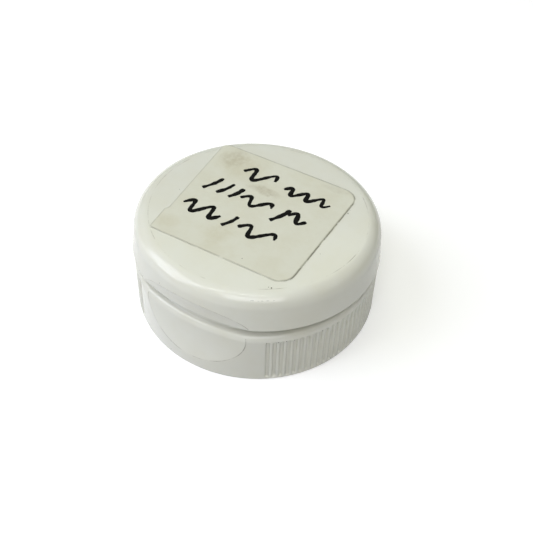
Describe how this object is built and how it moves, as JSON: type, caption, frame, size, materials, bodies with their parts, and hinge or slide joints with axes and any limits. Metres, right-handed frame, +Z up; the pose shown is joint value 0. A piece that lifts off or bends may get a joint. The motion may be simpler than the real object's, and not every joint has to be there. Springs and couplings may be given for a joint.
{
  "type": "flip top cap",
  "caption": "Screw-on dispensing cap with fluted skirt, thumb recess, sealing spout and a lid that swings on a film hinge.",
  "frame": {"origin": "centre of the open mouth of the base, on the plane of its lower rim, where the bottle neck enters", "axes": "+Z up along the neck axis, -Y towards the thumb recess, +Y towards the hinge"},
  "size_m": [0.042, 0.0425, 0.0182],
  "materials": {
    "white_plastic": "moulded white polypropylene, glossy, slightly yellowed, with dirt in its lines",
    "label_paper": "matt paper sticker, stained, with a dark dirt line round its edge"
  },
  "bodies": {
    "base": {"closure_base": "white_plastic", "living_hinge": "white_plastic"},
    "lid": {"flip_lid": "white_plastic", "size_label": "label_paper"}
  },
  "joints": [
    {"name": "lid_hinge", "type": "hinge", "parent": "base", "child": "lid", "pos_m": [0, 0.02125, 0.0102], "axis": [-1, 0, 0], "range_deg": [-2.7, 177.3], "deforming": ["living_hinge"]}
  ]
}
